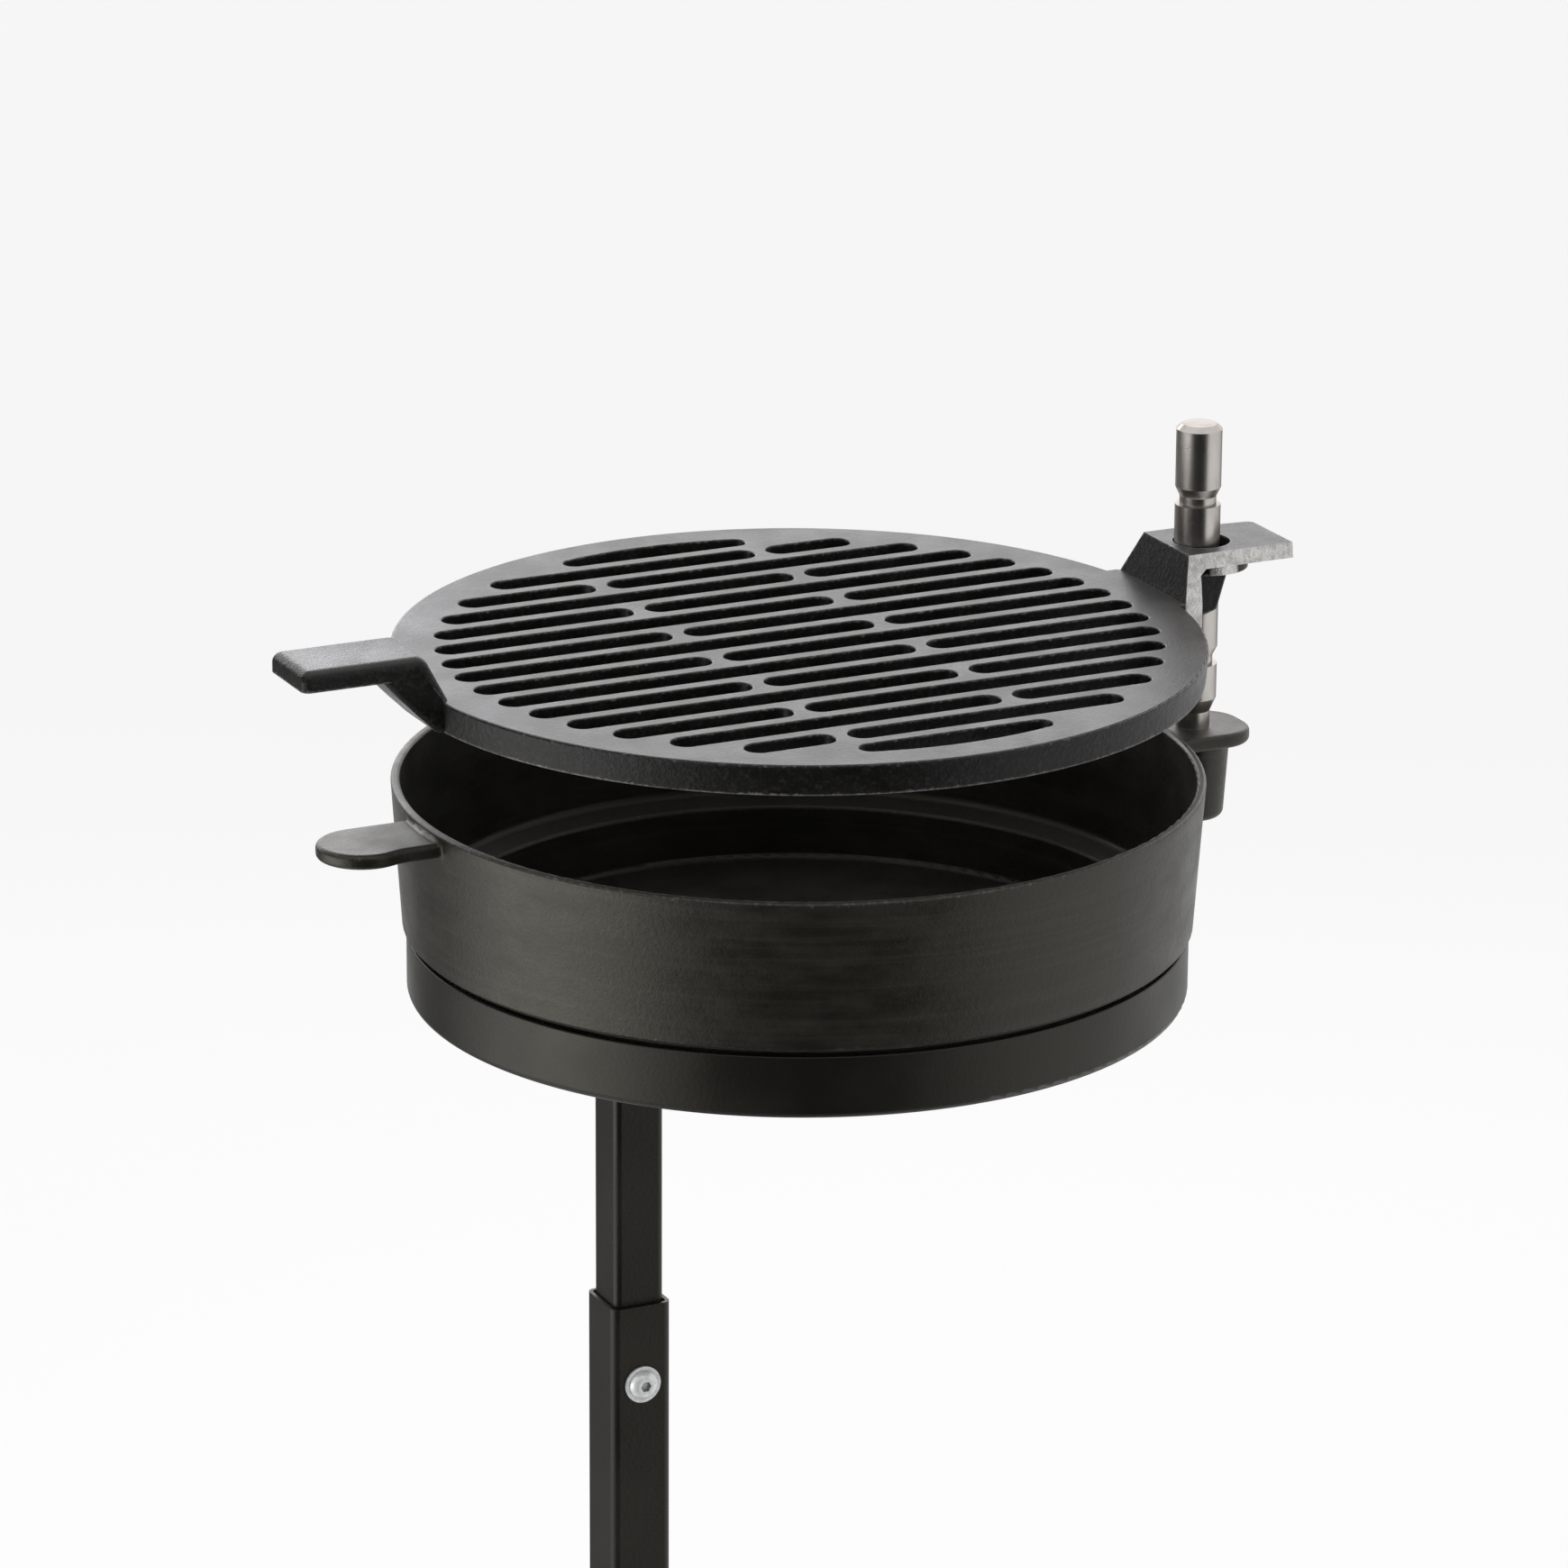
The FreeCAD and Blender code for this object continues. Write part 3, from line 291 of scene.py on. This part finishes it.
def powder_coat(name):
    """Black powder coat: a faint orange peel and a little dust."""
    look = Look(name, specular=0.42, tint=WARM_GLOSS)
    peel = look.noise(grain=0.0022, detail=2)
    cloud = look.noise(grain=0.06, detail=4, shift=(5, 2, 1))
    color = look.blend(look.ramp(cloud, 0.4, 0.75, end=0.4), *BLACK_COAT)
    rough = look.ramp(cloud, 0.3, 0.7, start=0.38, end=0.48)
    return look.finish(color, rough, peel, depth=0.00009)


def turned_steel(name):
    """Bright turned steel: fine rings round the axis, and stains drawn out along it."""
    look = Look(name, metallic=1.0, tint=STEEL_GLOSS)
    rings = look.noise(grain=0.003, detail=3, stretch=(400, 400, 1))
    stain = look.noise(grain=0.012, detail=4, stretch=(1, 1, 2.5))
    color = look.blend(look.ramp(stain, 0.4, 0.75), *BRIGHT_STEEL)
    rough = look.total(look.ramp(rings, 0.3, 0.7, start=0.27, end=0.31),
                       look.ramp(stain, 0.45, 0.8, end=0.08))
    return look.finish(color, rough, rings, depth=0.000005)


def zinc_plate(name):
    """Zinc plate: pale, finely crystalline, with small clouds and painted shade in its hollows."""
    look = Look(name, metallic=0.4)
    cloud = look.noise(grain=0.0025, detail=3)
    crystals = look.noise(grain=0.0006, detail=2, shift=(2, 4, 1))
    color = look.blend(look.ramp(cloud, 0.35, 0.7), *ZINC)
    # Hollows and creases are darkened towards a grey: painted shade
    painted_hollow_shade = look.ramp(look.openness(distance=0.004), 0.8, 0.3, end=0.85)
    color = look.blend(painted_hollow_shade, color, HOLLOW_SHADE)
    rough = look.ramp(cloud, 0.3, 0.7, start=0.36, end=0.5)
    return look.finish(color, rough, crystals, depth=0.00004)


# Welds

def make_mesh(name, corners, faces):
    mesh = bpy.data.meshes.new(name)
    mesh.from_pydata(corners, [], faces)
    thing = bpy.data.objects.new(name, mesh)
    bpy.context.scene.collection.objects.link(thing)
    return thing


def box_of(name):
    """The lowest and the highest corner of a CAD node."""
    node = NODES[name]
    corners = [node.matrix_world @ vertex.co for vertex in node.data.vertices]
    return (Vector(min(corner[axis] for corner in corners) for axis in range(3)),
            Vector(max(corner[axis] for corner in corners) for axis in range(3)))


def sample(path, step):
    """Points about a step apart along straight runs, each with its distance from the start."""
    found = []
    done = 0.0
    for start, end in zip(path, path[1:]):
        run = (end - start).length
        count = max(1, round(run / step))
        for index in range(count):
            found.append((start.lerp(end, index / count), done + run * index / count))
        done += run
    return found + [(path[-1], done)]


def add_bead(path, corners, faces):
    """One weld bead along a path: a round cord that sits in its corner, rippled, with thin tips."""
    points = sample(path, RIPPLE_PITCH / RINGS_PER_RIPPLE)
    length = points[-1][1]
    first = len(corners)
    for index, (place, done) in enumerate(points):
        before, after = points[max(index - 1, 0)][0], points[min(index + 1, len(points) - 1)][0]
        ahead = (after - before).normalized()
        side = ahead.cross(Vector((1, 0, 0) if abs(ahead.z) > 0.5 else (0, 0, 1))).normalized()
        over = ahead.cross(side)
        drift = RIPPLE_DRIFT * math.sin(done / DRIFT_LENGTH)
        ripple = 1 - RIPPLE_DEPTH * abs(math.sin(math.pi * done / RIPPLE_PITCH + drift))
        wander = 1 + WANDER * math.sin(done / WANDER_LENGTH)
        tip = min(1.0, (min(done, length - done) + WELD_TIP) / WELD_RADIUS) ** 0.5
        for turn in range(WELD_SIDES):
            angle = math.tau * turn / WELD_SIDES
            corners.append(place + WELD_RADIUS * ripple * wander * tip
                           * (math.cos(angle) * side + math.sin(angle) * over))
    for ring in range(len(points) - 1):
        low = first + ring * WELD_SIDES
        high = low + WELD_SIDES
        for turn in range(WELD_SIDES):
            after = (turn + 1) % WELD_SIDES
            faces.append((low + turn, low + after, high + after, high + turn))
    faces.append(tuple(first + turn for turn in reversed(range(WELD_SIDES))))
    faces.append(tuple(len(corners) - WELD_SIDES + turn for turn in range(WELD_SIDES)))


def quarter_turns(path):
    """The path and its copies after one, two and three quarter turns round the post."""
    turns = [Matrix.Rotation(math.radians(90 * turn), 3, "Z") for turn in range(4)]
    return [[turn @ point for point in path] for turn in turns]


def round_corner(start, half, level):
    """Round one corner of a square tube of this half width, from one face to the next."""
    bend = []
    for step in range(CORNER_STEPS + 1):
        angle = math.radians(90 / CORNER_STEPS * step)
        bend.append((half - TUBE_CORNER * (1 - math.cos(angle)),
                     half - TUBE_CORNER * (1 - math.sin(angle))))
    return [Vector((x, y, level)) for x, y in [(half, start)] + bend + [(start, half)]]


def base_paths():
    """Where the post and its gussets are welded to the ground plate, and to each other.

    The gussets are as thick as the rib under the dish.
    """
    tube = box_of("lower_tube")[1].x
    gussets = box_of("base_gussets")[1]
    cheek = box_of("support_rib")[1].y
    top = box_of("base_plate")[1].z
    paths = quarter_turns(round_corner(cheek + WELD_RADIUS, tube, top))
    for side in (-cheek, cheek):
        paths += quarter_turns([Vector((gussets.x - WELD_END, side, top)),
                                Vector((tube + WELD_CLEAR, side, top))])
        paths += quarter_turns([Vector((tube, side, top + WELD_CLEAR)),
                                Vector((tube, side, gussets.z - WELD_END))])
    return paths


def mast_paths():
    """Where the post and the rib are welded to the plate under the dish, and to each other."""
    tube = box_of("upper_tube")[1].x
    rib_low, rib_high = box_of("support_rib")
    cheek = rib_high.y
    under = box_of("support_plate")[0].z
    paths = quarter_turns(round_corner(0.0, tube, under))
    paths += [[Vector((tube + WELD_CLEAR, side, under)),
               Vector((rib_high.x - 2 * WELD_END, side, under))] for side in (-cheek, cheek)]
    paths += [[Vector((tube, side, under - WELD_CLEAR)),
               Vector((tube, side, rib_low.z + WELD_END))] for side in (-cheek, cheek)]
    return paths


def make_welds(coat):
    """The beads of the ground plate and of the plate under the dish."""
    for name, body, paths in (("base_welds", "base", base_paths()),
                              ("mast_welds", "mast", mast_paths())):
        corners, faces = [], []
        for path in paths:
            add_bead(path, corners, faces)
        weld = make_mesh(name, corners, faces)
        for face in weld.data.polygons:
            face.use_smooth = len(face.vertices) == 4
        weld.data.materials.append(coat)
        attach(weld, body)


# Studio

def studio(right, away, above):
    """A place as the camera sees it: to the right, away from it, above the bowl's lower edge."""
    return TURN @ Vector((right, away, above)) + BOWL_CENTRE


def make_camera():
    """A long lens at the photograph's place."""
    data = bpy.data.cameras.new("camera")
    data.sensor_width = SENSOR_MM
    data.lens = data.sensor_width * FOCAL_PIXELS / PICTURE_SIDE
    data.clip_start = NEAR_CLIP
    data.clip_end = FAR_CLIP
    camera = bpy.data.objects.new("camera", data)
    bpy.context.scene.collection.objects.link(camera)
    ahead = Vector((math.sin(CAMERA_YAW) * math.cos(CAMERA_PITCH),
                    math.cos(CAMERA_YAW) * math.cos(CAMERA_PITCH),
                    -math.sin(CAMERA_PITCH)))
    level = Vector((math.cos(CAMERA_YAW), -math.sin(CAMERA_YAW), 0))
    above = level.cross(ahead)
    right = math.cos(CAMERA_ROLL) * level + math.sin(CAMERA_ROLL) * above
    up = math.cos(CAMERA_ROLL) * above - math.sin(CAMERA_ROLL) * level
    axes = Matrix((TURN @ right, TURN @ up, TURN @ -ahead)).transposed()
    place = studio(0, -CAMERA_BACK, CAMERA_UP)
    camera.matrix_world = Matrix.Translation(place) @ axes.to_4x4()
    bpy.context.scene.camera = camera


def shows_white(tree):
    """1 for the rays that see the background: the camera's, and those in gloss and glass."""
    path = tree.nodes.new("ShaderNodeLightPath")
    share = path.outputs["Is Camera Ray"]
    for name in ("Is Glossy Ray", "Is Transmission Ray"):
        larger = tree.nodes.new("ShaderNodeMath")
        larger.operation = "MAXIMUM"
        tree.links.new(share, larger.inputs[0])
        tree.links.new(path.outputs[name], larger.inputs[1])
        share = larger.outputs[0]
    return share


def matt_material(name, tone, roughness):
    """A grey without gloss, with its shader."""
    material = bpy.data.materials.new(name)
    material.use_nodes = True
    shader = material.node_tree.nodes["Principled BSDF"]
    shader.inputs["Base Color"].default_value = (tone, tone, tone, 1)
    shader.inputs["Roughness"].default_value = roughness
    shader.inputs["Specular IOR Level"].default_value = 0.0
    return material, shader


def make_floor():
    """A wide pale floor that shows nearly white and keeps the shadow."""
    reach = FLOOR_REACH
    floor = make_mesh("floor", [(-reach, -reach, 0), (reach, -reach, 0),
                                (reach, reach, 0), (-reach, reach, 0)], [(0, 1, 2, 3)])
    material, paper = matt_material("floor", FLOOR_TONE, roughness=0.9)
    tree = material.node_tree
    glow = tree.nodes.new("ShaderNodeEmission")
    glow.inputs["Strength"].default_value = 1.0
    share = tree.nodes.new("ShaderNodeMath")
    share.operation = "MULTIPLY"
    share.inputs[1].default_value = FLOOR_WHITE
    tree.links.new(shows_white(tree), share.inputs[0])
    mix = tree.nodes.new("ShaderNodeMixShader")
    tree.links.new(share.outputs[0], mix.inputs[0])
    tree.links.new(paper.outputs[0], mix.inputs[1])
    tree.links.new(glow.outputs[0], mix.inputs[2])
    tree.links.new(mix.outputs[0], tree.nodes["Material Output"].inputs["Surface"])
    floor.data.materials.append(material)
    return floor


def make_flags():
    """The dark cards, which only gloss sees, as a studio sets them round dark metal."""
    for name, (tone, corners, faces) in CARDS.items():
        flag = make_mesh(name, [studio(*corner) for corner in corners], faces)
        flag.data.materials.append(matt_material(name, tone, roughness=1.0)[0])
        flag.visible_camera = False
        flag.visible_diffuse = False
        flag.visible_shadow = False


def add_softbox(name, place, target, size, radiance, tint, spares=None):
    """A soft lamp whose face looks as bright as its radiance, where 1 is white.

    It doesn't light the object that it spares.
    """
    data = bpy.data.lights.new(name, "AREA")
    data.shape = "RECTANGLE"
    data.size, data.size_y = size
    data.energy = radiance * math.pi * size[0] * size[1]
    data.color = tint
    lamp = bpy.data.objects.new(name, data)
    lamp.location = place
    lamp.rotation_mode = "QUATERNION"
    lamp.rotation_quaternion = (target - place).to_track_quat("-Z", "Y")
    lamp.visible_camera = False
    bpy.context.scene.collection.objects.link(lamp)
    if spares:
        spared = bpy.data.collections.new(name + "_spared")
        spared.objects.link(spares)
        spared.collection_objects[0].light_linking.link_state = "EXCLUDE"
        lamp.light_linking.receiver_collection = spared


def light_world():
    """An even white dome: white where it is seen, a little less as light."""
    world = bpy.data.worlds.new("world")
    bpy.context.scene.world = world
    world.use_nodes = True
    tree = world.node_tree
    strength = tree.nodes.new("ShaderNodeMapRange")
    strength.inputs["To Min"].default_value = DOME_LIGHT
    strength.inputs["To Max"].default_value = 1.0
    tree.links.new(shows_white(tree), strength.inputs["Value"])
    tree.links.new(strength.outputs[0], tree.nodes["Background"].inputs["Strength"])
    tree.nodes["Background"].inputs["Color"].default_value = (1, 1, 1, 1)


# Single nodes have looks of their own, and the others the look of their slot
NODE_LOOKS = {
    # The tops of both castings are painted lighter, partly for wear and partly as painted light
    # from above
    "fire_bowl": cast_iron("bowl_iron", BOWL_IRON, WARM_GLOSS, specular=0.5,
                           top_wear_and_light=1.2, smooth=0.38, satin=0.31,
                           specks=0.005, brushed=0.36, worn=0.5, relief=0.00015),
    "grate": cast_iron("grate_iron", GRATE_IRON, COOL_GLOSS, specular=0.22,
                       top_wear_and_light=4.9, smooth=0.27, satin=0.24,
                       specks=0.045, brushed=0.0, worn=0.5, relief=0.0003, bare=bare_bracket),
    "stud": turned_steel("bright_steel"),
}
SLOT_LOOKS = {
    "powder_coat": powder_coat("powder_coat"),
    "zinc": zinc_plate("zinc"),
}
for part in frame["record"]["subparts"]:
    node = NODES[part["node"]]
    node.data.materials.clear()
    node.data.materials.append(NODE_LOOKS.get(part["node"]) or SLOT_LOOKS[part["material_slot"]])

make_welds(SLOT_LOOKS["powder_coat"])
make_camera()
floor = make_floor()
make_flags()
light_world()
add_softbox("left", studio(-1.5, -0.6, -0.38), studio(0, 0, -0.2),
            size=(1.5, 0.74), radiance=2.4, tint=WARM_LIGHT, spares=floor)
add_softbox("back", studio(0.1, 1.9, 1.0), studio(0, 0, 0.1),
            size=(2.6, 1.5), radiance=2.0, tint=COOL_LIGHT)
add_softbox("back_left", studio(-0.75, 0.9, 0.45), studio(-0.2, 0, 0.1),
            size=(1.1, 0.5), radiance=2.7, tint=COOL_LIGHT)
bpy.context.scene.view_settings.view_transform = "Standard"
